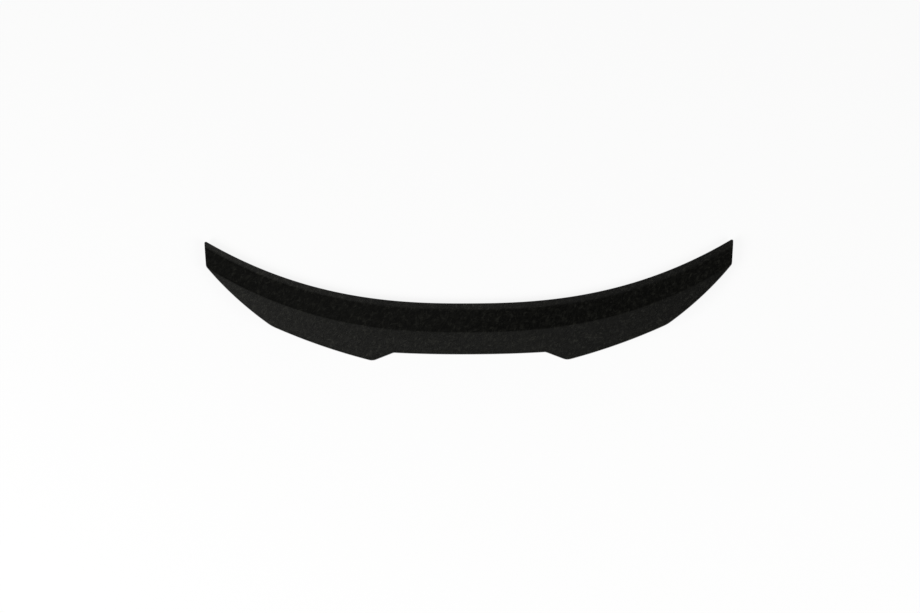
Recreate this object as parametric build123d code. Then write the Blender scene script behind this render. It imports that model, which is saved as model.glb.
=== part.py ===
from build123d import *
import os
from math import cos, radians, sqrt, tan

# Rear spoiler for a car's boot lid, moulded in one piece from chopped carbon fibre.
# X runs across the car, +Y forward and +Z up. The section is strip, ramp, crease and kick, carried
# along the swept leading edge. The ramp narrows towards the tips. The plan outline trims it all.

# Overall form, in mm and degrees
width = 1350.0                # tip to tip, before the corners are rounded
sweep = 172.5                 # the tips stand this far ahead of the middle of the leading edge
sweep_power = 2.4             # bend of the leading edge, where 2 is a parabola

# Boot lid that the spoiler is bonded to
lid_crown_radius = 8000.0     # crown across the car
lid_fall = 8.4                # the lid falls towards the rear

# Upper surface, from the leading edge rearward
nose_height = 2.5             # edge that stands on the lid
strip_run = 19.2              # steep strip along the leading edge
strip_angle = 24.0
ramp_run = 61.5               # long, nearly level ramp, at the middle of the car
ramp_tip_run = 52.3           # and at the tips
ramp_power = 2.6              # how late the ramp narrows towards the tips
ramp_angle = 3.0
kick_angle = 26.0             # upturned blade behind the crease
shoulder_radius = 28.0        # strip to ramp, convex
crease_radius = 15.0          # ramp to kick, hollow

# Trailing edge in plan: places across the car, and chords behind the leading edge there
notch_half = 190.0            # inner corner of the notch
notch_chord = 150.6
notch_bow = 5.1               # floor of the notch swells rearward in the middle
point_half = 242.0            # point beside the notch
point_chord = 182.9
kink_half = 497.0             # soft bend towards the tip
kink_chord = 154.0
tip_chord = 68.9              # end of the spoiler
tip_taper = 7.0               # the end leans in this far from front to rear
outer_bow = 5.7               # rounding of the edge from point to kink
tip_bow = 7.6                 # rounding of the edge from kink to tip
notch_radius = 10.0
point_radius = 12.0
kink_radius = 85.0
tip_rear_radius = 8.0
tip_front_radius = 4.0

# Blade and rear wall
blade_thickness = 5.0
foot_chord = 108.0            # rear wall meets the lid, at the middle of the car
foot_tip_chord = 54.0         # and at the tips
foot_power = 4.0              # how late the foot draws in towards the tips
wall_lean = 25.0              # from upright, top to the rear
under_radius = 30.0           # rear wall into the underside of the blade
rim_radius = 1.5              # rounding of the upper edge all round

# Hollow inside, and the bonding flange round its mouth
skin = 2.5                    # laminate thickness
flange_thickness = 3.0
nose_run = 12.0               # solid nose ahead of the hollow
end_wall = 4.0                # least thickness at the tips
front_land = 20.0             # width of the flange along the leading edge
rear_land = 16.0              # along the rear wall
end_land = 16.0               # at the tips

# Cutting solids run this far past what they trim, through this many sections
overrun = 40.0
station_count = 13

half = width / 2
far = point_chord + overrun   # behind every trailing edge
deep = -far                   # well below the lid


# A straight line of the section is its height at the leading edge and its slope. Runs are measured
# rearward from the leading edge, and heights from the lid there.
def line_through(run, height, angle):
    slope = tan(radians(angle))
    return height - slope * run, slope


def lowered(line, depth):
    """The same line, moved down by a depth measured square to it."""
    return line[0] - depth * sqrt(1 + line[1] ** 2), line[1]


def at(line, run):
    return run, line[0] + line[1] * run


def at_height(line, height):
    return (height - line[0]) / line[1], height


def crossing(first, second):
    return at(first, (second[0] - first[0]) / (first[1] - second[1]))


lid = line_through(0, 0, -lid_fall)
strip = line_through(0, nose_height, strip_angle)
ramp = line_through(*at(strip, strip_run), ramp_angle)


def leading_edge(x):
    """How far forward the leading edge stands, x away from the middle of the car."""
    return sweep * (abs(x) / half) ** sweep_power


def lid_height(x):
    """Height of the lid under the leading edge."""
    crown = sqrt(lid_crown_radius ** 2 - x ** 2) - lid_crown_radius
    return leading_edge(x) * tan(radians(lid_fall)) + crown / cos(radians(lid_fall))


def kick(x):
    """Line of the kick, which starts nearer to the leading edge towards the tips."""
    crease = strip_run + ramp_run - (ramp_run - ramp_tip_run) * (abs(x) / half) ** ramp_power
    return line_through(*at(ramp, crease), kick_angle)


def foot_run(x):
    return foot_chord - (foot_chord - foot_tip_chord) * (abs(x) / half) ** foot_power


def rear_wall(x):
    return line_through(*at(lid, foot_run(x)), 90 - wall_lean)


ceiling = at(kick(half + overrun), far)[1]    # over every part of the upper surface


# Sections of the solids that are cut away: corners in order, each with its radius
def above_top(x):
    """All above the strip, ramp and kick."""
    roof = ceiling + overrun
    return [
        (at(strip, -overrun), 0),
        (crossing(strip, ramp), shoulder_radius),
        (crossing(ramp, kick(x)), crease_radius),
        (at(kick(x), far), 0),
        ((far, roof), 0),
        ((-overrun, roof), 0),
    ]


def under_blade(x):
    """All under the blade and behind the rear wall."""
    underside = lowered(kick(x), blade_thickness)
    wall = rear_wall(x)
    return [
        (at(underside, far), 0),
        (crossing(underside, wall), under_radius),
        (at_height(wall, deep), 0),
        ((far, deep), 0),
    ]


def below_lid(x):
    return [(at(lid, -overrun), 0), (at(lid, far), 0), ((far, deep), 0), ((-overrun, deep), 0)]


def under_skin(x):
    """All under the inner face of the top laminate."""
    inner_strip, inner_ramp, inner_kick = [lowered(line, skin) for line in (strip, ramp, kick(x))]
    return [
        (at(inner_strip, -overrun), 0),
        (crossing(inner_strip, inner_ramp), shoulder_radius - skin),
        (crossing(inner_ramp, inner_kick), crease_radius + skin),
        (at(inner_kick, far), 0),
        ((far, deep), 0),
        ((-overrun, deep), 0),
    ]


def within_walls(x):
    """All over the flange, from the nose to the inner face of the rear wall."""
    flange_top = lowered(lid, -flange_thickness)
    inner_wall = lowered(rear_wall(x), -skin)
    return [
        (at(flange_top, nose_run), 0),
        ((nose_run, ceiling), 0),
        (at_height(inner_wall, ceiling), 0),
        (crossing(flange_top, inner_wall), 0),
    ]


def flange_mouth(x):
    """The opening inside the flange, up into the hollow."""
    top = lowered(lid, -flange_thickness - skin / 2)
    back = foot_run(x) - rear_land
    return [((front_land, deep), 0), (at(top, front_land), 0), (at(top, back), 0), ((back, deep), 0)]


def loft_across(section):
    """Solid through the section at every station, past both tips."""
    limit = half + overrun
    faces = []
    for i in range(station_count):
        x = limit * (2 * i / (station_count - 1) - 1)
        y, z = leading_edge(x), lid_height(x)
        corners = [(y - run, z + height) for (run, height), _ in section(x)]
        outline = FilletPolyline(*corners, radius=[radius for _, radius in section(x)], close=True)
        faces.append((Plane.YZ.offset(x) * make_face(outline)).face())
    return loft(faces)


def between_tips(limit):
    """Everything nearer than limit to the middle of the car."""
    return Box(2 * limit, 4 * (sweep + far), 4 * far)


def plan_outline():
    """Outline seen from above: leading edge, slanted ends and notched trailing edge."""
    def corner(x, chord):
        return x, leading_edge(x) - chord

    front = corner(half, 0)
    tip = corner(half - tip_taper, tip_chord)
    kink = corner(kink_half, kink_chord)
    point = corner(point_half, point_chord)
    notch = corner(notch_half, notch_chord)
    right = Curve() + [
        Line(front, tip),
        SagittaArc(tip, kink, tip_bow),
        SagittaArc(kink, point, outer_bow),
        Line(point, notch),
    ]
    spots = [half * (2 * i / (station_count - 1) - 1) for i in range(station_count)]
    edge = Spline(*[corner(x, 0) for x in spots])
    centre = ThreePointArc(notch, (0, notch[1] - notch_bow), (-notch[0], notch[1]))
    return make_face([edge, centre, *right.edges(), *mirror(right, Plane.YZ).edges()])


def rounded_plank():
    """The plan outline drawn upright, from between the lid and the cutters' floor, with rounded corners."""
    base = deep / 2
    plank = extrude(Plane.XY.offset(base) * plan_outline(), ceiling - base)
    for x, radius in [
        (half, tip_front_radius),
        (half - tip_taper, tip_rear_radius),
        (kink_half, kink_radius),
        (point_half, point_radius),
        (notch_half, notch_radius),
    ]:
        upright = plank.edges().filter_by(Axis.Z)
        plank = fillet(upright.filter_by(lambda e: abs(abs(e.center().X) - x) < 0.01), radius)
    return plank


def upper_rim(body):
    """Edges where the upper surface meets the upright sides."""
    sides = body.faces().filter_by(lambda f: abs(f.normal_at().Z) < 0.01)
    low = body.bounding_box().min.Z + overrun
    return [e for f in sides for e in f.edges() if e.bounding_box().min.Z > low]


def spoiler_shell():
    body = rounded_plank() - loft_across(above_top)
    body = fillet(upper_rim(body), rim_radius)
    body = body - loft_across(under_blade) - loft_across(below_lid)
    hollow = loft_across(under_skin) & loft_across(within_walls)
    body = body - (hollow & between_tips(half - tip_taper - end_wall))
    body = body - (loft_across(flange_mouth) & between_tips(half - tip_taper - end_land))
    # The origin is on the lid, in the middle of the rear part of the bonding flange
    run, height = at(lid, foot_chord - rear_land / 2)
    return Pos(0, run, -height) * body


os.makedirs("parts", exist_ok=True)
export_step(spoiler_shell(), "parts/spoiler_shell.step")
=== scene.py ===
import bmesh
import bpy
from math import asin, cos, radians, sin, sqrt, tan
from mathutils import Matrix, Vector


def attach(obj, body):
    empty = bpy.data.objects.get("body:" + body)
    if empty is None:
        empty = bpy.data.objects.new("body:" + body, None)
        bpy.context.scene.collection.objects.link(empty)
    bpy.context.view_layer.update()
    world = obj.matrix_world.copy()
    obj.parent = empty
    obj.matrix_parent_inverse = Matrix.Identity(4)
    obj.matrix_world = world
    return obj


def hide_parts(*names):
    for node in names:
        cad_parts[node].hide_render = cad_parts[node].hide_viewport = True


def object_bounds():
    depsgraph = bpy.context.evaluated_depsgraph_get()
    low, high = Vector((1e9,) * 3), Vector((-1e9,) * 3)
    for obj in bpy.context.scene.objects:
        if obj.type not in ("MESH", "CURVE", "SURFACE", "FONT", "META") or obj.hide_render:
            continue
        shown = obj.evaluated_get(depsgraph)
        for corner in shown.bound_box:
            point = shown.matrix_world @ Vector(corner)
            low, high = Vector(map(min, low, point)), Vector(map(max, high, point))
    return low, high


# Rear spoiler for a car's boot lid, moulded in one piece from chopped carbon fibre and clear coated.
# X runs across the car, +Y forward and +Z up. A section is carried along the swept leading edge: its runs
# are measured rearward from that edge, and its heights from the lid there.

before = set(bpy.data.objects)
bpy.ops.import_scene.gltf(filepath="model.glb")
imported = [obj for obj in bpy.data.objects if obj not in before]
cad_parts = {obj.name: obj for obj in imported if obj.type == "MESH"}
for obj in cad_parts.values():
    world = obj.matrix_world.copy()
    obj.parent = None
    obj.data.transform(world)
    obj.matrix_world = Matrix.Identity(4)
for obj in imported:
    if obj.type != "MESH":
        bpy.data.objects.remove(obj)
cad_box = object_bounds()
scene = bpy.context.scene
scene.view_settings.view_transform = "Standard"

MM = 0.001
MATH = "ShaderNodeMath"
PHOTO_WIDTH = 920             # pixels of the photograph's frame
SENSOR = 36.0                 # camera film width, mm

# Overall form, in mm and degrees, with the solids' own values
WIDTH = 1350.0                # tip to tip, before the corners are rounded
HALF = WIDTH / 2
SWEEP = 172.5                 # the tips stand this far ahead of the middle of the leading edge
SWEEP_POWER = 2.4             # bend of the leading edge
LID_CROWN = 8000.0            # crown radius of the lid, across the car
LID_FALL = 8.4                # the lid falls towards the rear
ORIGIN_RUN = 100.0            # the frame's origin lies this far behind the leading edge, on the lid

# Upper surface, from the leading edge rearward
NOSE_HEIGHT = 2.5             # edge that stands on the lid
STRIP_RUN = 19.2              # steep strip along the leading edge
STRIP_ANGLE = 24.0
RAMP_RUN = 61.5               # nearly level ramp, at the middle of the car
RAMP_TIP_RUN = 52.3           # and at the tips
RAMP_POWER = 2.6              # how late the ramp narrows towards the tips
RAMP_ANGLE = 3.0
KICK_ANGLE = 26.0             # upturned blade behind the crease

# Trailing edge in plan: places across the car, and chords behind the leading edge there
NOTCH_HALF = 190.0            # inner corner of the notch
NOTCH_CHORD = 150.6
NOTCH_BOW = 5.1               # the floor of the notch swells rearward in the middle
NOTCH_RADIUS = 10.0
POINT_HALF = 242.0            # point beside the notch
POINT_CHORD = 182.9
POINT_RADIUS = 24.0           # rounder than in the solids, as the photograph shows it
KINK_HALF = 497.0             # soft bend towards the tip
KINK_CHORD = 154.0
KINK_RADIUS = 85.0
OUTER_BOW = 5.7               # rounding of the edge from point to kink
TIP_BOW = 7.6                 # and from kink to tip
TIP_CHORD = 68.9              # end of the spoiler
TIP_TAPER = 7.0               # the end leans in this far from front to rear
TIP_REAR_RADIUS = 8.0
TIP_FRONT_RADIUS = 4.0
CORNER_LEAD = 10.0            # stretch of the leading edge that leads into the front corner
END_LENGTH = 26.0             # length over which the sections come to lean with the end

# Blade, rear wall and rims
BLADE = 5.0
FOOT_CHORD = 108.0            # the rear wall meets the lid, at the middle of the car
FOOT_TIP_CHORD = 54.0         # and at the tips
FOOT_POWER = 4.0              # how late the foot draws in towards the tips
WALL_LEAN = 25.0              # from upright, top to the rear
RIM = 1.5                     # rounding of the upper edges
UNDER_RIM = 0.8               # rounding under the trailing edge, where the solids are sharp

# Hollow inside, and the bonding flange round its mouth
SKIN = 2.5                    # laminate thickness
SKIN_DROP = 2.65              # the same measured upright, as a mean of ramp and kick
FLANGE = 3.0
NOSE_RUN = 12.0               # solid nose ahead of the hollow
FRONT_LAND = 20.0             # width of the flange along the leading edge
REAR_LAND = 16.0              # along the rear wall
END_LAND = 16.0               # at the tips
END_WALL = 4.0                # least thickness at the tips
HOLLOW_SHORT = 1.5            # the sharp rear corner of the hollow stops this far short

# Widths of the smooth blends that give the solids' radii: 28, 15 and 30 mm
SHOULDER_BLEND = 2.9          # strip to ramp
CREASE_BLEND = 1.9            # ramp to kick
UNDER_BLEND = 15.6            # rear wall to the underside of the blade

# Rows along a section, in mm from the leading edge, the shoulder, the crease or the top of the rear wall
NOSE_ROWS = (14, 10, 7.5, 5.5, 4, 2.5, 1.2, 0)
STRIP_ROWS = (2.5, 4, 5.5, 7.5)
SHOULDER_ROWS = (-8, -5.5, -3.5, -1.8, 0, 1.8, 3.5, 5.5, 8)
CREASE_ROWS = (-5.5, -4, -2.5, -1.2, 0, 1.2, 2.5, 4, 5.5)
JOIN_ROWS = (10, 8, 6, 4, 2, 0, -2, -4, -6, -8)
RAMP_STEPS = 7                # steps from the last row of the shoulder to the first of the crease
KICK_STEPS = 8                # and from the last row of the crease to the trailing edge
QUARTERS = (0, 0.25, 0.5, 0.75, 1)

# Room that rows keep, in mm, where the outline leaves them little
KICK_GAP = 4.0                # last row of the kick to the trailing edge
HOLLOW_GAP = 2.0              # the same inside the hollow
BLADE_GAP = 3.0               # first row under the blade to the trailing edge
TOP_SPACE = 0.9               # from row to row over the upper surface
UNDER_SPACE = 0.5             # under the blade
FOOT_SPACE = 0.25             # up the rear wall
HOLLOW_SPACE = 0.3            # along the floor of the hollow
NOSE_SQUEEZE = 0.15           # at the front corner rows keep this share of their spacing
PAST_LAND = 5.0               # rows beside the mouth lie this far inside it, where they are cut away
FREE = 10000.0                # a gap that never limits a row
STATION_STEP = 12.0           # from section to section inside the shell
SHARP_ANGLE = 32.0            # edges that turn by more than this are shaded sharp

# Slopes of the section's lines, and the heights of those lines at the leading edge
STRIP, RAMP, KICK, WALL, LID = [
    tan(radians(angle)) for angle in (STRIP_ANGLE, RAMP_ANGLE, KICK_ANGLE, 90 - WALL_LEAN, LID_FALL)]
RAMP_START = NOSE_HEIGHT + STRIP_RUN * (STRIP - RAMP)
KICK_START = RAMP_START + (STRIP_RUN + RAMP_RUN) * (RAMP - KICK)
KICK_RISE = KICK - RAMP       # the kick stands higher by this much of what the crease moves forward
BLADE_DROP = BLADE / cos(radians(KICK_ANGLE))
FLANGE_LIFT = FLANGE / cos(radians(LID_FALL))
WALL_LIFT = SKIN / cos(radians(90 - WALL_LEAN))

# Run where the rear wall meets the underside of the blade, which goes with the foot and the crease
JOIN_START = (KICK_START - BLADE_DROP) / (WALL - KICK)
JOIN_PER_FOOT = (WALL + LID) / (WALL - KICK)
JOIN_PER_DRAW = KICK_RISE / (WALL - KICK)

# Inner rear corner of the flange, from the foot; rear end of the hollow; station where the ends' rim turns
FLANGE_CORNER = (FLANGE_LIFT - WALL_LIFT) / (WALL + LID)
HOLLOW_END = (KICK_START - SKIN_DROP - WALL_LIFT) / (WALL - KICK) - HOLLOW_SHORT
TIP_STATION = HALF - TIP_TAPER - RIM

# Numbers that every point of a section and every station of a rail carries
POINT_VALUES = ("run_fixed", "run_chord", "run_foot", "run_draw", "on_top", "drop",
                "nose_gap", "rim_gap", "foot_gap")
STATION_VALUES = ("station", "rear", "front", "turn")


def linear(hex_colour):
    """An sRGB hex colour as linear RGBA."""
    channels = [int(hex_colour[i:i + 2], 16) / 255 for i in (1, 3, 5)]
    return [c / 12.92 if c <= 0.04045 else ((c + 0.055) / 1.055) ** 2.4 for c in channels] + [1.0]


def add(tree, kind, feeds=None, **settings):
    """Adds a node. feeds maps an input to a value, a socket, or a node whose first output it takes.

    A Mix node takes numbers at inputs 2 and 3, vectors at 4 and 5, and colours at 6 and 7.
    """
    node = tree.nodes.new(kind)
    for name, value in settings.items():
        setattr(node, name, value)
    for key, value in (feeds or {}).items():
        if isinstance(value, bpy.types.Node):
            value = value.outputs[0]
        if isinstance(value, bpy.types.NodeSocket):
            tree.links.new(value, node.inputs[key])
        else:
            node.inputs[key].default_value = value
    return node


def new_material(name):
    """An empty material and its node tree."""
    material = bpy.data.materials.new(name)
    material.use_nodes = True
    material.node_tree.nodes.clear()
    return material, material.node_tree


def between(start, end, share):
    """The number that lies this share of the way from start to end."""
    return start * (1 - share) + end * share


def leading_edge(x):
    """How far forward the leading edge stands, x away from the middle of the car."""
    return SWEEP * (abs(x) / HALF) ** SWEEP_POWER


def crease_draw(x):
    """How far the crease has come forward there."""
    return (RAMP_RUN - RAMP_TIP_RUN) * (abs(x) / HALF) ** RAMP_POWER


def foot_run(x):
    """Run of the foot of the rear wall there."""
    return FOOT_CHORD - (FOOT_CHORD - FOOT_TIP_CHORD) * (abs(x) / HALF) ** FOOT_POWER


def in_plan(x, chord):
    """Place seen from above, x away from the middle of the car and a chord behind the leading edge."""
    return Vector((x, leading_edge(x) - chord))


def bowed(start, end, bow, count):
    """Points from start up to end, on a line that swells to its right."""
    along = end - start
    aside = Vector((along.y, -along.x)).normalized()
    shares = [i / count for i in range(count)]
    return [start + along * t + aside * (4 * bow * t * (1 - t)) for t in shares]


def rounded(line, corner, radius, steps=6):
    """The line with one of its points rounded off."""
    i = min(range(len(line)), key=lambda k: (line[k] - corner).length)
    before = (line[i - 1] - line[i]).normalized()
    after = (line[i + 1] - line[i]).normalized()
    half_angle = before.angle(after) / 2
    reach = radius / tan(half_angle)
    centre = line[i] + (before + after).normalized() * (radius / sin(half_angle))
    spoke = line[i] + before * reach - centre
    turn = spoke.angle_signed(line[i] + after * reach - centre)
    arc = [centre + Matrix.Rotation(-turn * k / steps, 2) @ spoke for k in range(steps + 1)]
    clear = reach * 1.1
    start = [p for p in line[:i] if (p - line[i]).length > clear]
    end = [p for p in line[i + 1:] if (p - line[i]).length > clear]
    return start + arc + end


def trailing_edge():
    """Right half of the trailing edge in plan, from the middle of the car to the end of the tip."""
    notch = in_plan(NOTCH_HALF, NOTCH_CHORD)
    point = in_plan(POINT_HALF, POINT_CHORD)
    kink = in_plan(KINK_HALF, KINK_CHORD)
    tip = in_plan(HALF - TIP_TAPER, TIP_CHORD)
    floor = [notch.x * i / 16 for i in range(16)]
    line = [Vector((x, notch.y - NOTCH_BOW * (1 - (x / notch.x) ** 2))) for x in floor]
    line += bowed(notch, point, 0, 5)
    line += bowed(point, kink, OUTER_BOW, 22)
    line += bowed(kink, tip, TIP_BOW, 18)
    line += [tip, tip + (in_plan(HALF, 0) - tip).normalized() * TIP_REAR_RADIUS]
    line = rounded(line, notch, NOTCH_RADIUS)
    line = rounded(line, point, POINT_RADIUS)
    line = rounded(line, kink, KINK_RADIUS)
    return rounded(line, tip, TIP_REAR_RADIUS)


def edge_at(line, x):
    """Where the trailing edge lies, x away from the middle of the car."""
    before, after = next((a, b) for a, b in zip(line, line[1:]) if a.x <= x <= b.x)
    return before.lerp(after, (x - before.x) / (after.x - before.x)).y


def row(fixed, chord=0.0, foot=0.0, draw=0.0, top=0.0, drop=0.0, rim_gap=-FREE, foot_gap=-FREE):
    """A point of a section. Its run is fixed plus shares of the chord, the foot and the crease's draw.

    The gaps keep it behind the front corner, ahead of the trailing edge and behind the foot.
    """
    nose_gap = min(fixed, RIM) + NOSE_SQUEEZE * max(fixed - RIM, 0.0)
    if chord or foot:
        nose_gap = -FREE
    numbers = (fixed * MM, chord, foot, draw, top, drop * MM, nose_gap * MM, rim_gap * MM, foot_gap * MM)
    return dict(zip(POINT_VALUES, numbers))


def top_rows(start, end_gap, drop):
    """Rows over the strip, ramp and kick, close together on the shoulder and the crease."""
    crease = STRIP_RUN + RAMP_RUN
    past_shoulder, past_crease = SHOULDER_ROWS[-1], CREASE_ROWS[-1]
    level = RAMP_RUN - past_shoulder - past_crease
    rows = [(run, 0.0, 0.0) for run in STRIP_ROWS]
    rows += [(STRIP_RUN + d, 0.0, 0.0) for d in SHOULDER_ROWS]
    for i in range(1, RAMP_STEPS):
        share = i / RAMP_STEPS
        rows.append((STRIP_RUN + past_shoulder + level * share, 0.0, -share))
    rows += [(crease + d, 0.0, -1.0) for d in CREASE_ROWS]
    for i in range(1, KICK_STEPS + 1):
        share = i / KICK_STEPS
        rows.append((between(crease + past_crease, -end_gap, share), share, share - 1))
    rows = [r for r in rows if r[1] or r[0] > start]
    gaps = [end_gap + TOP_SPACE * (len(rows) - 1 - i) for i in range(len(rows))]
    return [row(fixed, chord, draw=draw, top=1.0, drop=drop, rim_gap=gap)
            for (fixed, chord, draw), gap in zip(rows, gaps)]


def nose_rim():
    """Rounding of the upper edge over the nose."""
    rows = []
    for k in range(4):
        turn = radians(180 - k * (90 - STRIP_ANGLE) / 3)
        run = RIM * (1 + cos(turn))
        height = RIM * sin(turn) - RIM * tan(radians((90 - STRIP_ANGLE) / 2))
        rows.append(row(run, top=1.0, drop=height - STRIP * run))
    return rows


def trailing_rim():
    """Rounding of the trailing edge, first above and then below."""
    rows = []
    for k in range(6):
        turn = radians((90 + KICK_ANGLE) * (1 - k / 5))
        run = RIM * (cos(turn) - 1)
        height = RIM * sin(turn) - RIM / tan(radians((90 - KICK_ANGLE) / 2))
        rows.append(row(run, chord=1.0, top=1.0, drop=height - KICK * run))
    for k in range(3):
        turn = -radians((90 - KICK_ANGLE) * k / 2)
        run = UNDER_RIM * (cos(turn) - 1)
        height = UNDER_RIM * sin(turn) + UNDER_RIM / tan(radians((90 + KICK_ANGLE) / 2))
        rows.append(row(run, chord=1.0, drop=height - KICK * run))
    return rows


def under_rows():
    """Rows under the blade and down the rear wall, close together where the two meet."""
    behind, *near, ahead = JOIN_ROWS
    rows = [(between(-BLADE_GAP, JOIN_START + behind, f), 1 - f, JOIN_PER_FOOT * f, JOIN_PER_DRAW * f)
            for f in QUARTERS]
    rows += [(JOIN_START + d, 0.0, JOIN_PER_FOOT, JOIN_PER_DRAW) for d in near]
    rows += [((JOIN_START + ahead) * (1 - f), 0.0, between(JOIN_PER_FOOT, 1.0, f), JOIN_PER_DRAW * (1 - f))
             for f in QUARTERS[:-1]]
    return [row(*shares, rim_gap=BLADE_GAP + UNDER_SPACE * i, foot_gap=FOOT_SPACE * (len(rows) - i))
            for i, shares in enumerate(rows)]


def outer_section():
    """The outside of the shell: lid face, nose, upper surface, trailing edge, blade and rear wall."""
    rows = [row((FRONT_LAND - REAR_LAND) / 2, foot=0.5), row(FRONT_LAND + PAST_LAND)]
    rows += [row(run) for run in NOSE_ROWS]
    rows += nose_rim() + top_rows(RIM, KICK_GAP, 0.0) + trailing_rim() + under_rows()
    return rows + [row(0.0, foot=1.0), row(-REAR_LAND - PAST_LAND, foot=1.0)]


def hollow_section():
    """The hollow under the upper laminate, between the nose and the rear wall."""
    floor = [(NOSE_RUN, 0.0, 0.0), (FRONT_LAND + PAST_LAND, 0.0, 0.0)]
    floor += [(between(FRONT_LAND, FLANGE_CORNER, f), 0.0, f) for f in (0.3, 0.6, 0.85, 1.0)]
    floor += [(0.0, f, 1 - f) for f in (0.2, 0.4, 0.6, 0.8, 1.0)]
    rows = [row(*shares, rim_gap=HOLLOW_SPACE * (len(floor) - 1 - i)) for i, shares in enumerate(floor)]
    rows.append(row(0.0, chord=1.0, top=1.0, drop=-SKIN_DROP))
    ceiling = [row(NOSE_RUN, top=1.0, drop=-SKIN_DROP)] + top_rows(NOSE_RUN, HOLLOW_GAP, -SKIN_DROP)
    return rows + ceiling[::-1]


def mouth_section():
    """The opening inside the bonding flange, from below the lid up into the hollow."""
    below, above = -10.0, FLANGE_LIFT + 1.0
    front = {"fixed": FRONT_LAND}
    rear = {"fixed": -REAR_LAND, "foot": 1.0}
    corners = [(front, below), (rear, below), (rear, above), (front, above)]
    return [row(**place, drop=drop) for place, drop in corners]


def point_line(name, points, closed, values):
    """A line of points as an edge mesh, with a number for every point under each name."""
    mesh = bpy.data.meshes.new(name)
    count = len(points)
    edges = [(i, (i + 1) % count) for i in range(count if closed else count - 1)]
    mesh.from_pydata(points, edges, [])
    for key in values[0]:
        attribute = mesh.attributes.new(key, "FLOAT", "POINT")
        attribute.data.foreach_set("value", [v[key] for v in values])
    line = bpy.data.objects.new(name, mesh)
    scene.collection.objects.link(line)
    return line


def rail(name, stops):
    """Stations across the car.

    A stop is its x, the place of the trailing edge, the run at which the section starts, and how far the
    rounding of the end's rim has turned.
    """
    values = []
    for x, rear, front, turn in stops:
        values.append(dict(zip(STATION_VALUES, (x * MM, rear * MM, front * MM, turn))))
    # Spots in a row, because the nodes of the sweep give the stations their places
    spots = [(0, 0.1 * i, 0) for i in range(len(stops))]
    return point_line(name, spots, False, values)


def end_station(place):
    """Station that passes a place of the front corner, the run there and the turn of the rim's rounding."""
    run = max(leading_edge(place.x) - place.y, 0.0)
    lean = TIP_TAPER * (1 - run / TIP_CHORD)
    past = place.x - TIP_STATION - lean
    if past > 0:
        return TIP_STATION, run, asin(min(past / RIM, 1.0))
    # The share of END_LENGTH at which the station, with lean times that share squared, comes to the place
    share = (sqrt(END_LENGTH ** 2 + 4 * lean * (END_LENGTH + past + lean)) - END_LENGTH) / (2 * lean)
    return TIP_STATION - END_LENGTH * (1 - share), run, 0.0


def outer_rail():
    """Stations along the trailing edge, and then round the front corner of the tip."""
    edge = trailing_edge()
    corner, tip = in_plan(HALF, 0), in_plan(HALF - TIP_TAPER, TIP_CHORD)
    inward = in_plan(HALF - CORNER_LEAD, 0)
    last = []
    for place in rounded([inward, corner, tip], corner, TIP_FRONT_RADIUS, steps=14)[1:-1]:
        x, run, turn = end_station(place)
        last.append((x, edge_at(edge, x + RIM * sin(turn)), run, turn))
    right = [(p.x, p.y, 0.0, 0.0) for p in edge if p.x < last[0][0] - 1] + last
    return rail("outer_rail", [(-x, *rest) for x, *rest in reversed(right[1:])] + right)


def inner_rail(name, limit):
    """Stations inside the shell, with the rear end of the hollow in place of the trailing edge."""
    count = round(2 * limit / STATION_STEP)
    stops = []
    for i in range(count + 1):
        x = limit * (2 * i / count - 1)
        rear = leading_edge(x) - HOLLOW_END - JOIN_PER_FOOT * foot_run(x) - JOIN_PER_DRAW * crease_draw(x)
        stops.append((x, rear, 0.0, 0.0))
    return rail(name, stops)


SWEEP_SIZES = {
    "Half Width": HALF * MM,
    "Sweep": SWEEP * MM,
    "Sweep Power": SWEEP_POWER,
    "Lid Crown": LID_CROWN * MM * cos(radians(LID_FALL)),
    "Lid Slope": LID,
    "Foot Chord": FOOT_CHORD * MM,
    "Foot Draw": (FOOT_CHORD - FOOT_TIP_CHORD) * MM,
    "Foot Power": FOOT_POWER,
    "Nose Height": NOSE_HEIGHT * MM,
    "Strip Slope": STRIP,
    "Ramp Start": RAMP_START * MM,
    "Ramp Slope": RAMP,
    "Kick Start": KICK_START * MM,
    "Kick Slope": KICK,
    "Kick Rise": KICK_RISE,
    "Crease Draw": (RAMP_RUN - RAMP_TIP_RUN) * MM,
    "Crease Power": RAMP_POWER,
    "Wall Slope": WALL,
    "Blade Drop": BLADE_DROP * MM,
    "Shoulder Blend": SHOULDER_BLEND * MM,
    "Crease Blend": CREASE_BLEND * MM,
    "Under Blend": UNDER_BLEND * MM,
    "Flange Lift": 0.0,
    "Wall Lift": 0.0,
    "End Taper": TIP_TAPER * MM,
    "Tip Chord": TIP_CHORD * MM,
    "Tip Station": TIP_STATION * MM,
    "End Length": END_LENGTH * MM,
    "Rim Radius": RIM * MM,
    "Origin Run": ORIGIN_RUN * MM,
}


def station_sizes(tree, size, read):
    """Run of the foot, draw of the crease, chord, and distance from the middle of the car at a station."""
    away = add(tree, MATH, {0: read["station"]}, operation="ABSOLUTE")
    share = add(tree, MATH, {0: away, 1: size["Half Width"]}, operation="DIVIDE")
    drawn = add(tree, MATH, {0: share, 1: size["Foot Power"]}, operation="POWER")
    draw = add(tree, MATH, {0: drawn, 1: size["Foot Draw"]}, operation="MULTIPLY")
    foot = add(tree, MATH, {0: size["Foot Chord"], 1: draw}, operation="SUBTRACT")
    near_tip = add(tree, MATH, {0: share, 1: size["Crease Power"]}, operation="POWER")
    crease = add(tree, MATH, {0: near_tip, 1: size["Crease Draw"]}, operation="MULTIPLY")
    swept = add(tree, MATH, {0: share, 1: size["Sweep Power"]}, operation="POWER")
    lead = add(tree, MATH, {0: swept, 1: size["Sweep"]}, operation="MULTIPLY")
    chord = add(tree, MATH, {0: lead, 1: read["rear"]}, operation="SUBTRACT")
    return foot, crease, chord, away


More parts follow.
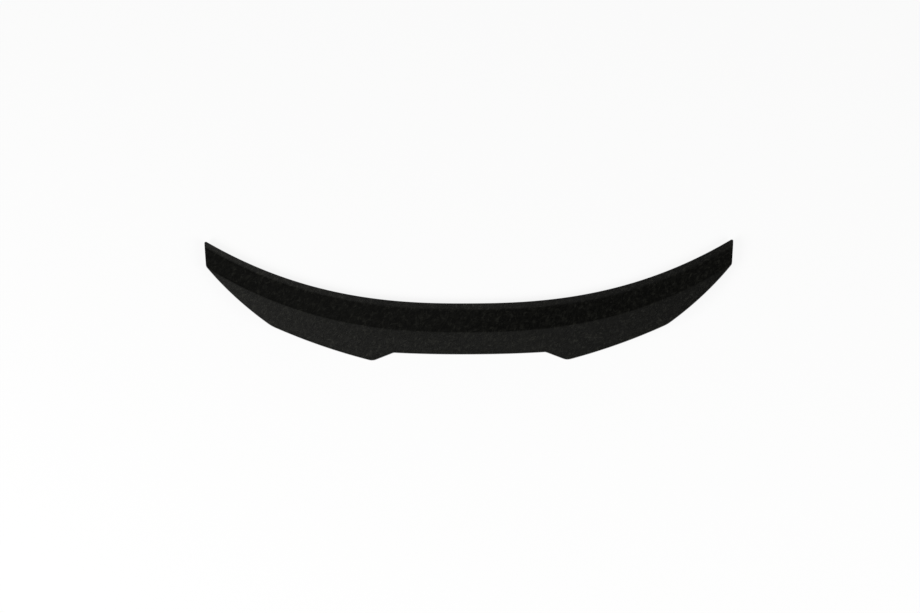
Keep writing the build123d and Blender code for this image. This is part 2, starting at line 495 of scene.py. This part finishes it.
def section_run(tree, read, foot, crease, chord):
    """Run of each point of the section, kept behind the front corner, ahead of the trailing edge and
    behind the foot."""
    run = add(tree, MATH, {0: read["run_chord"], 1: chord, 2: read["run_fixed"]}, operation="MULTIPLY_ADD")
    run = add(tree, MATH, {0: read["run_foot"], 1: foot, 2: run}, operation="MULTIPLY_ADD")
    run = add(tree, MATH, {0: read["run_draw"], 1: crease, 2: run}, operation="MULTIPLY_ADD")
    nearest = add(tree, MATH, {0: read["front"], 1: read["nose_gap"]}, operation="ADD")
    run = add(tree, MATH, {0: run, 1: nearest}, operation="MAXIMUM")
    farthest = add(tree, MATH, {0: chord, 1: read["rim_gap"]}, operation="SUBTRACT")
    run = add(tree, MATH, {0: run, 1: farthest}, operation="MINIMUM")
    nearest = add(tree, MATH, {0: foot, 1: read["foot_gap"]}, operation="ADD")
    return add(tree, MATH, {0: run, 1: nearest}, operation="MAXIMUM")


def upper_surface(tree, size, run, kick):
    """Height of strip, ramp and kick, with the shoulder and the crease rounded."""
    strip = add(tree, MATH, {
        0: run, 1: size["Strip Slope"], 2: size["Nose Height"]}, operation="MULTIPLY_ADD")
    ramp = add(tree, MATH, {
        0: run, 1: size["Ramp Slope"], 2: size["Ramp Start"]}, operation="MULTIPLY_ADD")
    front = add(tree, MATH, {0: strip, 1: ramp, 2: size["Shoulder Blend"]}, operation="SMOOTH_MIN")
    return add(tree, MATH, {0: front, 1: kick, 2: size["Crease Blend"]}, operation="SMOOTH_MAX")


def lower_surface(tree, size, run, foot, kick):
    """Height of the lid face, the rear wall and the underside of the blade."""
    blade = add(tree, MATH, {0: kick, 1: size["Blade Drop"]}, operation="SUBTRACT")
    behind = add(tree, MATH, {0: run, 1: foot}, operation="SUBTRACT")
    wall = add(tree, MATH, {
        0: behind, 1: size["Wall Slope"], 2: size["Wall Lift"]}, operation="MULTIPLY_ADD")
    fall = add(tree, MATH, {0: foot, 1: size["Lid Slope"]}, operation="MULTIPLY")
    wall = add(tree, MATH, {0: wall, 1: fall}, operation="SUBTRACT")
    under = add(tree, MATH, {0: wall, 1: blade, 2: size["Under Blend"]}, operation="SMOOTH_MIN")
    fall = add(tree, MATH, {0: run, 1: size["Lid Slope"]}, operation="MULTIPLY")
    lid = add(tree, MATH, {0: size["Flange Lift"], 1: fall}, operation="SUBTRACT")
    return add(tree, MATH, {0: lid, 1: under}, operation="MAXIMUM")


def section_height(tree, size, read, run, foot, crease):
    """Height of each point of the section, with the rim rounded at the two ends."""
    start = add(tree, MATH, {
        0: crease, 1: size["Kick Rise"], 2: size["Kick Start"]}, operation="MULTIPLY_ADD")
    kick = add(tree, MATH, {0: run, 1: size["Kick Slope"], 2: start}, operation="MULTIPLY_ADD")
    above = upper_surface(tree, size, run, kick)
    below = lower_surface(tree, size, run, foot, kick)
    height = add(tree, "ShaderNodeMix", {0: read["on_top"], 2: below, 3: above}, data_type="FLOAT")
    height = add(tree, MATH, {0: height, 1: read["drop"]}, operation="ADD")
    level = add(tree, MATH, {0: read["turn"]}, operation="COSINE")
    sunk = add(tree, MATH, {0: 1.0, 1: level}, operation="SUBTRACT")
    sunk = add(tree, MATH, {0: sunk, 1: size["Rim Radius"]}, operation="MULTIPLY")
    sunk = add(tree, MATH, {0: sunk, 1: read["on_top"]}, operation="MULTIPLY")
    return add(tree, MATH, {0: height, 1: sunk}, operation="SUBTRACT")


def leaned_out(tree, size, read, run, away):
    """Distance from the middle of the car, with ends that lean in towards the rear and have a round rim."""
    rest = add(tree, MATH, {0: run, 1: size["Tip Chord"]}, operation="DIVIDE")
    rest = add(tree, MATH, {0: 1.0, 1: rest}, operation="SUBTRACT")
    lean = add(tree, MATH, {0: rest, 1: size["End Taper"]}, operation="MULTIPLY")
    short = add(tree, MATH, {0: away, 1: size["Tip Station"]}, operation="SUBTRACT")
    ending = add(tree, MATH, {0: short, 1: size["End Length"]}, operation="DIVIDE")
    ending = add(tree, MATH, {0: ending, 1: 1.0}, operation="ADD", use_clamp=True)
    ending = add(tree, MATH, {0: ending, 1: 2.0}, operation="POWER")
    away = add(tree, MATH, {0: ending, 1: lean, 2: away}, operation="MULTIPLY_ADD")
    out = add(tree, MATH, {0: read["turn"]}, operation="SINE")
    return add(tree, MATH, {0: out, 1: size["Rim Radius"], 2: away}, operation="MULTIPLY_ADD")


def place_on_car(tree, size, read, run, height, away):
    """Place behind the swept leading edge, over the crowned and falling lid."""
    side = add(tree, MATH, {0: read["station"]}, operation="SIGN")
    x = add(tree, MATH, {0: away, 1: side}, operation="MULTIPLY")
    share = add(tree, MATH, {0: away, 1: size["Half Width"]}, operation="DIVIDE")
    swept = add(tree, MATH, {0: share, 1: size["Sweep Power"]}, operation="POWER")
    lead = add(tree, MATH, {0: swept, 1: size["Sweep"], 2: size["Origin Run"]}, operation="MULTIPLY_ADD")
    y = add(tree, MATH, {0: lead, 1: run}, operation="SUBTRACT")
    rise = add(tree, MATH, {0: lead, 1: size["Lid Slope"], 2: height}, operation="MULTIPLY_ADD")
    crown = add(tree, MATH, {0: x, 1: x}, operation="MULTIPLY")
    crown = add(tree, MATH, {0: crown, 1: size["Lid Crown"]}, operation="DIVIDE")
    z = add(tree, MATH, {0: crown, 1: -0.5, 2: rise}, operation="MULTIPLY_ADD")
    return add(tree, "ShaderNodeCombineXYZ", {0: x, 1: y, 2: z})


def sweep_tree():
    """Geometry nodes that carry a closed section along the swept leading edge, by the stations of a rail."""
    tree = bpy.data.node_groups.new("section_along_leading_edge", "GeometryNodeTree")
    inputs = {
        "Section": "NodeSocketGeometry", "Rail": "NodeSocketObject",
        "Finish": "NodeSocketMaterial", "Lid Face Finish": "NodeSocketMaterial",
    }
    inputs.update({name: "NodeSocketFloat" for name in SWEEP_SIZES})
    for name, kind in inputs.items():
        tree.interface.new_socket(name, in_out="INPUT", socket_type=kind)
    tree.interface.new_socket("Shell", in_out="OUTPUT", socket_type="NodeSocketGeometry")
    size = add(tree, "NodeGroupInput").outputs

    rails = add(tree, "GeometryNodeObjectInfo", {"Object": size["Rail"]}, transform_space="ORIGINAL")
    path = add(tree, "GeometryNodeMeshToCurve", {"Mesh": rails.outputs["Geometry"]})
    loop = add(tree, "GeometryNodeMeshToCurve", {"Mesh": size["Section"]})
    tube = add(tree, "GeometryNodeCurveToMesh", {
        "Curve": path, "Profile Curve": loop, "Fill Caps": True})

    read = {}
    for name in STATION_VALUES + POINT_VALUES:
        value = add(tree, "GeometryNodeInputNamedAttribute", {"Name": name}, data_type="FLOAT")
        read[name] = value.outputs["Attribute"]
    foot, crease, chord, away = station_sizes(tree, size, read)
    run = section_run(tree, read, foot, crease, chord)
    height = section_height(tree, size, read, run, foot, crease)
    away = leaned_out(tree, size, read, run, away)
    place = place_on_car(tree, size, read, run, height, away)
    placed = add(tree, "GeometryNodeSetPosition", {"Geometry": tube, "Position": place})

    # The face on the lid, ahead of the foot, has its own finish
    ahead = add(tree, "FunctionNodeCompare", {0: run, 1: foot}, data_type="FLOAT", operation="LESS_THAN")
    low = add(tree, "FunctionNodeCompare", {
        0: read["on_top"], 1: 0.4}, data_type="FLOAT", operation="LESS_THAN")
    on_lid = add(tree, "FunctionNodeBooleanMath", {0: ahead, 1: low}, operation="AND")
    real = add(tree, "GeometryNodeRealizeInstances", {"Geometry": placed})
    dressed = add(tree, "GeometryNodeSetMaterial", {"Geometry": real, "Material": size["Finish"]})
    dressed = add(tree, "GeometryNodeSetMaterial", {
        "Geometry": dressed, "Selection": on_lid, "Material": size["Lid Face Finish"]})
    add(tree, "NodeGroupOutput", {"Shell": dressed})
    return tree


def plain_mesh(piece):
    """Gives the piece the mesh that its modifiers make, and removes them."""
    graph = bpy.context.evaluated_depsgraph_get()
    mesh = bpy.data.meshes.new_from_object(piece.evaluated_get(graph))
    piece.modifiers.clear()
    piece.data = mesh
    return mesh


def swept_solid(name, tree, section, line, finish, lid_finish, changes=None):
    """A plain closed mesh, made by carrying a section along a rail."""
    # Spots on a circle, because the nodes of the sweep give the points their places
    spots = [(0, cos(i), sin(i)) for i in range(len(section))]
    piece = point_line(name, spots, True, section)
    modifier = piece.modifiers.new("sweep", "NODES")
    modifier.node_group = tree
    values = {**SWEEP_SIZES, **(changes or {})}
    values.update({"Rail": line, "Finish": finish, "Lid Face Finish": lid_finish})
    for item in tree.interface.items_tree:
        if item.in_out == "INPUT" and item.name in values:
            modifier[item.identifier] = values[item.name]
    mesh = plain_mesh(piece)
    work = bmesh.new()
    work.from_mesh(mesh)
    bmesh.ops.remove_doubles(work, verts=work.verts, dist=0.001 * MM)
    # Only the caps of the two ends have more than four corners
    caps = [face for face in work.faces if len(face.verts) > 4]
    bmesh.ops.triangulate(work, faces=caps, ngon_method="BEAUTY")
    bmesh.ops.recalc_face_normals(work, faces=work.faces)
    work.to_mesh(mesh)
    work.free()
    bpy.data.objects.remove(line)
    return piece


def spoiler_shell(outside, inside):
    """The whole spoiler: the outer form less its hollow and the mouth inside the bonding flange."""
    tree = sweep_tree()
    shell = swept_solid("chopped_carbon_shell", tree, outer_section(), outer_rail(), outside, inside)
    hollow_rail = inner_rail("hollow_rail", HALF - TIP_TAPER - END_WALL)
    # For the hollow the underside of the blade is moved far up, out of the way of the rear wall
    hollow = swept_solid("hollow", tree, hollow_section(), hollow_rail, inside, inside, {
        "Blade Drop": -1.0, "Flange Lift": FLANGE_LIFT * MM, "Wall Lift": WALL_LIFT * MM, "End Taper": 0.0})
    mouth_rail = inner_rail("mouth_rail", HALF - TIP_TAPER - END_LAND)
    mouth = swept_solid("mouth", tree, mouth_section(), mouth_rail, inside, inside, {"End Taper": 0.0})
    for cutter in (hollow, mouth):
        cut = shell.modifiers.new(cutter.name, "BOOLEAN")
        cut.operation = "DIFFERENCE"
        cut.solver = "MANIFOLD"
        cut.material_mode = "TRANSFER"
        cut.object = cutter
    mesh = plain_mesh(shell)
    for cutter in (hollow, mouth):
        bpy.data.objects.remove(cutter)
    mesh.shade_smooth()
    mesh.set_sharp_from_angle(angle=radians(SHARP_ANGLE))
    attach(shell, "root")
    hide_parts("spoiler_shell")


# Layers of chips, from the lowest up: turn in degrees, length and width in mm, shift, and share that shows.
# Real chips are longer, but they lie so many deep that only pieces of about this size show.
CHIP_LAYERS = [
    (20, 12.0, 4.0, 0.0, 1.0),
    (75, 13.0, 4.0, 7.3, 0.5),
    (-50, 10.0, 3.6, 13.1, 0.45),
    (128, 12.0, 3.6, 21.7, 0.4),
    (-12, 9.5, 3.2, 31.9, 0.35),
    (100, 8.5, 3.2, 43.7, 0.3),
]
CHIP_LEAN = 0.12              # how far a chip tips out of the surface
STREAK_LENGTH = 5.0           # streaks of fibre along a chip, mm
STREAK_WIDTH = 0.25           # many fibres wide, so that they show
CLUMP = 11.0                  # patches of darker and paler chips
RIPPLE = 9.0                  # slow ripple of the clear coat
WAVE = 14.0                   # waves of the raw resin inside


def chip_layer():
    """Node group: one layer of chopped tow chips, all lying one way.

    Gives three random numbers for each chip, and the place measured along and across its fibres.
    """
    group = bpy.data.node_groups.new("tow_chips", "ShaderNodeTree")
    group.interface.new_socket("Surface", in_out="INPUT", socket_type="NodeSocketVector")
    for name in ("Turn", "Length", "Width", "Shift"):
        group.interface.new_socket(name, in_out="INPUT", socket_type="NodeSocketFloat")
    group.interface.new_socket("Chip", in_out="OUTPUT", socket_type="NodeSocketColor")
    group.interface.new_socket("Lengthwise", in_out="OUTPUT", socket_type="NodeSocketVector")
    given = add(group, "NodeGroupInput").outputs
    turned = add(group, "ShaderNodeVectorRotate", {
        "Vector": given["Surface"], "Angle": given["Turn"]}, rotation_type="Z_AXIS")
    spot = add(group, "ShaderNodeSeparateXYZ", {0: turned}).outputs
    along = add(group, MATH, {0: spot["X"], 1: given["Length"]}, operation="DIVIDE")
    across = add(group, MATH, {0: spot["Y"], 1: given["Width"]}, operation="DIVIDE")
    cell = add(group, "ShaderNodeCombineXYZ", {0: along, 1: across})
    moved = add(group, "ShaderNodeVectorMath", {0: cell, 1: given["Shift"]}, operation="ADD")
    cells = add(group, "ShaderNodeTexVoronoi", {"Vector": moved, "Scale": 1.0, "Randomness": 0.9},
                voronoi_dimensions="2D", feature="F1", distance="CHEBYCHEV")
    add(group, "NodeGroupOutput", {"Chip": cells.outputs["Color"], "Lengthwise": turned})
    return group


def flat_place(tree):
    """Place on the surface, seen square to whichever way it mostly faces, and the place in space."""
    place = add(tree, "ShaderNodeTexCoord").outputs
    spot = add(tree, "ShaderNodeSeparateXYZ", {0: place["Object"]}).outputs
    facing = add(tree, "ShaderNodeSeparateXYZ", {0: place["Normal"]}).outputs
    upright = add(tree, MATH, {0: facing["Z"]}, operation="ABSOLUTE")
    upright = add(tree, MATH, {0: upright, 1: 0.55}, operation="LESS_THAN")
    sideways = add(tree, MATH, {0: facing["X"]}, operation="ABSOLUTE")
    sideways = add(tree, MATH, {0: sideways, 1: 0.7}, operation="GREATER_THAN")
    across = add(tree, "ShaderNodeMix", {0: sideways, 2: spot["X"], 3: spot["Y"]}, data_type="FLOAT")
    upward = add(tree, "ShaderNodeMix", {0: upright, 2: spot["Y"], 3: spot["Z"]}, data_type="FLOAT")
    return add(tree, "ShaderNodeCombineXYZ", {0: across, 1: upward}), place["Object"]


def chip_pattern(tree, surface, group):
    """The chips that lie uppermost: their random numbers, and the place along and across their fibres."""
    chips = fibres = None
    for turn, length, width, shift, share in CHIP_LAYERS:
        layer = add(tree, "ShaderNodeGroup", {
            "Surface": surface, "Turn": radians(turn), "Length": length * MM, "Width": width * MM,
            "Shift": shift}, node_tree=group).outputs
        if chips is None:
            chips, fibres = layer["Chip"], layer["Lengthwise"]
            continue
        numbers = add(tree, "ShaderNodeSeparateColor", {0: layer["Chip"]}).outputs
        shows = add(tree, MATH, {0: numbers["Blue"], 1: share}, operation="LESS_THAN")
        chips = add(tree, "ShaderNodeMix", {
            0: shows, 6: chips, 7: layer["Chip"]}, data_type="RGBA").outputs[2]
        fibres = add(tree, "ShaderNodeMix", {
            0: shows, 4: fibres, 5: layer["Lengthwise"]}, data_type="VECTOR").outputs[1]
    return chips, fibres


def tone_ramp(tree, value, stops):
    """Colour ramp from pairs of place and sRGB hex colour."""
    node = add(tree, "ShaderNodeValToRGB", {0: value})
    ramp = node.color_ramp
    while len(ramp.elements) < len(stops):
        ramp.elements.new(0.5)
    for element, (place, colour) in zip(ramp.elements, stops):
        element.position = place
        element.color = linear(colour)
    return node


def fibre_streaks(tree, fibres):
    """Streaks that run along the fibres of each chip."""
    scale = (1 / (STREAK_LENGTH * MM), 1 / (STREAK_WIDTH * MM), 1.0)
    stretched = add(tree, "ShaderNodeVectorMath", {0: fibres, 1: scale}, operation="MULTIPLY")
    return add(tree, "ShaderNodeTexNoise", {
        "Vector": stretched, "Scale": 1.0, "Detail": 1.0}, noise_dimensions="2D").outputs[0]


def leaning_normal(tree, chips):
    """The surface's normal, tipped a little another way on each chip."""
    aside = add(tree, "ShaderNodeVectorMath", {0: chips, 1: (0.5, 0.5, 0.5)}, operation="SUBTRACT")
    tipped = add(tree, "ShaderNodeVectorMath", {0: aside, "Scale": CHIP_LEAN}, operation="SCALE")
    form = add(tree, "ShaderNodeNewGeometry")
    leaned = add(tree, "ShaderNodeVectorMath", {0: form.outputs["Normal"], 1: tipped}, operation="ADD")
    return add(tree, "ShaderNodeVectorMath", {0: leaned}, operation="NORMALIZE")


def clear_coated_chopped_carbon(group):
    """Near-black mottle of short carbon chips that catch the light one by one, deep under a gloss coat."""
    material, tree = new_material("clear_coated_chopped_carbon")
    surface, place = flat_place(tree)
    chips, fibres = chip_pattern(tree, surface, group)
    numbers = add(tree, "ShaderNodeSeparateColor", {0: chips}).outputs
    streaks = fibre_streaks(tree, fibres)
    clumps = add(tree, "ShaderNodeTexNoise", {"Vector": place, "Scale": 1 / (CLUMP * MM), "Detail": 2.0})
    shade = add(tree, MATH, {0: streaks, 1: 0.25, 2: numbers["Red"]}, operation="MULTIPLY_ADD")
    shade = add(tree, MATH, {0: clumps, 1: 1.6, 2: shade}, operation="MULTIPLY_ADD")
    shade = add(tree, "ShaderNodeMapRange", {"Value": shade, "From Min": 0.5, "From Max": 2.1})
    tone = tone_ramp(tree, shade.outputs[0], [
        (0.15, "#0c0c0a"), (0.5, "#181815"), (0.8, "#2a2a26"), (1.0, "#40403a")])
    rough = add(tree, "ShaderNodeMapRange", {"Value": streaks, "To Min": 0.28, "To Max": 0.42})
    ripple = add(tree, "ShaderNodeTexNoise", {"Vector": place, "Scale": 1 / (RIPPLE * MM), "Detail": 1.0})
    peel = add(tree, "ShaderNodeBump", {"Height": ripple, "Strength": 0.05, "Distance": 0.12 * MM})
    # Carbon fibres shine as a dark metal does, and the rest is the epoxy between them
    skin = add(tree, "ShaderNodeBsdfPrincipled", {
        "Base Color": tone, "Metallic": 0.86, "Roughness": rough.outputs[0],
        "Normal": leaning_normal(tree, chips),
        "Coat Weight": 1.0, "Coat Roughness": 0.05, "Coat IOR": 1.5, "Coat Normal": peel,
    })
    add(tree, "ShaderNodeOutputMaterial", {"Surface": skin})
    return material


def raw_chopped_laminate(group):
    """Unpolished inside of the moulding: dull grey-black chips, with the waves and pits of bare resin."""
    material, tree = new_material("raw_chopped_laminate")
    surface, place = flat_place(tree)
    chips, fibres = chip_pattern(tree, surface, group)
    numbers = add(tree, "ShaderNodeSeparateColor", {0: chips}).outputs
    tone = tone_ramp(tree, numbers["Red"], [(0.1, "#121211"), (0.7, "#1c1c1a"), (1.0, "#2b2b28")])
    waves = add(tree, "ShaderNodeTexNoise", {"Vector": place, "Scale": 1 / (WAVE * MM), "Detail": 3.0})
    relief = add(tree, MATH, {
        0: numbers["Green"], 1: 0.35, 2: waves.outputs[0]}, operation="MULTIPLY_ADD")
    rise = add(tree, "ShaderNodeBump", {"Height": relief, "Strength": 0.5, "Distance": 0.6 * MM})
    streaks = fibre_streaks(tree, fibres)
    rough = add(tree, "ShaderNodeMapRange", {"Value": streaks, "To Min": 0.5, "To Max": 0.75})
    skin = add(tree, "ShaderNodeBsdfPrincipled", {
        "Base Color": tone, "Roughness": rough.outputs[0], "IOR": 1.5, "Specular IOR Level": 0.4,
        "Normal": rise,
    })
    add(tree, "ShaderNodeOutputMaterial", {"Surface": skin})
    return material


def camera_at_photo():
    """Camera where the photograph was taken from: behind the part and high above it."""
    azimuth, elevation, roll = radians(0.39), radians(72.24), radians(0.118)
    target = Vector((-0.0235, 0.0924, 0.014))
    distance = 7.0
    focal_pixels = 2765.7
    ahead = Vector((sin(azimuth) * cos(elevation), cos(azimuth) * cos(elevation), -sin(elevation)))
    level = Vector((cos(azimuth), -sin(azimuth), 0))
    upright = level.cross(ahead)
    right = cos(roll) * level + sin(roll) * upright
    up = cos(roll) * upright - sin(roll) * level
    data = bpy.data.cameras.new("photo_camera")
    data.sensor_fit = "HORIZONTAL"
    data.sensor_width = SENSOR
    data.lens = focal_pixels * SENSOR / PHOTO_WIDTH
    camera = bpy.data.objects.new("photo_camera", data)
    turned = Matrix((right, up, -ahead)).transposed().to_4x4()
    camera.matrix_world = Matrix.Translation(target - distance * ahead) @ turned
    scene.collection.objects.link(camera)
    scene.camera = camera


def soft_lamp(name, place, aim, side, watts):
    """A square lamp that doesn't show in the part's gloss, where its image would burn out the kick."""
    data = bpy.data.lights.new(name, "AREA")
    data.shape = "SQUARE"
    data.size = side
    data.energy = watts
    lamp = bpy.data.objects.new(name, data)
    lamp.location = place
    lamp.rotation_mode = "QUATERNION"
    lamp.rotation_quaternion = (aim - place).to_track_quat("-Z", "Y")
    lamp.visible_glossy = False
    scene.collection.objects.link(lamp)


def studio():
    """Soft light all round, brightest low on the right and dim overhead, and a lamp on each side."""
    world = bpy.data.worlds.new("studio")
    scene.world = world
    world.use_nodes = True
    tree = world.node_tree
    tree.nodes.clear()
    place = add(tree, "ShaderNodeTexCoord")
    way = add(tree, "ShaderNodeSeparateXYZ", {0: place.outputs["Generated"]}).outputs
    low = add(tree, "ShaderNodeMapRange", {
        "Value": way["X"], "From Min": -0.3, "From Max": 0.3, "To Min": 0.088, "To Max": 0.246})
    overhead = add(tree, "ShaderNodeMapRange", {
        "Value": way["X"], "From Min": -0.05, "From Max": 0.05, "To Min": 0.1, "To Max": 0.042})
    level = add(tree, "ShaderNodeMapRange", {
        "Value": way["Z"], "From Min": 0.55, "From Max": 0.86,
        "To Min": low.outputs[0], "To Max": overhead.outputs[0]})
    light = add(tree, "ShaderNodeBackground", {"Color": linear("#fffffa"), "Strength": level.outputs[0]})
    add(tree, "ShaderNodeOutputWorld", {"Surface": light})
    middle = Vector((0, 0.1, 0))
    soft_lamp("left_bank", Vector((-3.5, -2.8, 3.2)), middle, 2.4, 260)
    soft_lamp("right_bank", Vector((3.5, -2.8, 3.2)), middle, 2.4, 170)


def pale_floor():
    """White paper under the part, bright to the eye and in reflections, which still takes a soft shadow."""
    reach = 60                # metres, so that its edge lies far off in low views
    level = cad_box[0].z - 0.2 * MM
    corners = [(-reach, -reach), (reach, -reach), (reach, reach), (-reach, reach)]
    mesh = bpy.data.meshes.new("floor")
    mesh.from_pydata([(x, y, level) for x, y in corners], [], [(0, 1, 2, 3)])
    floor = bpy.data.objects.new("floor", mesh)
    scene.collection.objects.link(floor)
    material, tree = new_material("white_paper")
    paper = add(tree, "ShaderNodeBsdfDiffuse", {"Color": linear("#f4f4f4")})
    white = add(tree, "ShaderNodeEmission", {"Color": linear("#ffffff"), "Strength": 1.0})
    ray = add(tree, "ShaderNodeLightPath").outputs
    seen = add(tree, MATH, {0: ray["Is Camera Ray"], 1: ray["Is Glossy Ray"]}, operation="MAXIMUM")
    seen = add(tree, MATH, {0: seen, 1: ray["Is Transmission Ray"]}, operation="MAXIMUM")
    share = add(tree, MATH, {0: seen, 1: 0.88}, operation="MULTIPLY")
    both = add(tree, "ShaderNodeMixShader", {0: share, 1: paper, 2: white})
    add(tree, "ShaderNodeOutputMaterial", {"Surface": both})
    mesh.materials.append(material)


tow_chips = chip_layer()
spoiler_shell(clear_coated_chopped_carbon(tow_chips), raw_chopped_laminate(tow_chips))
camera_at_photo()
studio()
pale_floor()
